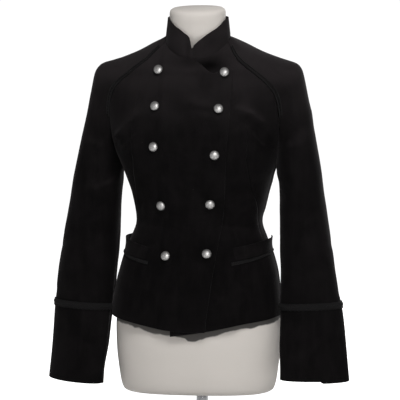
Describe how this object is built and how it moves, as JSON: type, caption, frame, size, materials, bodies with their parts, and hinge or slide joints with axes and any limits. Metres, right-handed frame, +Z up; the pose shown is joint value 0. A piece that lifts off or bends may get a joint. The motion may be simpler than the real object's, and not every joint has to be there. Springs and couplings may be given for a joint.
{
  "type": "blazer on a dress form",
  "caption": "Fitted double-breasted velvet blazer with a stand collar, deep flared cuffs and braid trim, worn by a limbless dress form on a short round stand.",
  "frame": {"origin": "middle of the underside of the stand's round base, on the pole's axis", "axes": "+Z up along the pole; the garment faces -Y; +X points to the wearer's left"},
  "size_m": [0.5986, 0.32, 0.8733],
  "materials": {
    "velvet": "short cotton velvet pile, almost black, with a faint warm sheen at grazing angles",
    "braid": "matte black woven and crocheted braid",
    "pewter": "antique pewter dome, mottled, darker toward the rim",
    "jersey": "smooth off-white knitted cover",
    "chrome": "polished chrome"
  },
  "bodies": {
    "root": {"back_left": "velvet", "back_right": "velvet", "button_left_1": "pewter", "button_left_2": "pewter", "button_left_3": "pewter", "button_left_4": "pewter", "button_left_5": "pewter", "button_right_1": "pewter", "button_right_2": "pewter", "button_right_3": "pewter", "button_right_4": "pewter", "button_right_5": "pewter", "collar": "velvet", "cuff_braid_left": "braid", "cuff_braid_right": "braid", "cuff_left": "velvet", "cuff_right": "velvet", "form_base": "chrome", "form_pole": "chrome", "form_socket": "chrome", "form_torso": "jersey", "front_left": "velvet", "front_right": "velvet", "pocket_braid_left": "braid", "pocket_braid_right": "braid", "pocket_welt_left": "velvet", "pocket_welt_right": "velvet", "raglan_braid_left": "braid", "raglan_braid_right": "braid", "sleeve_left": "velvet", "sleeve_right": "velvet"}
  },
  "joints": []
}
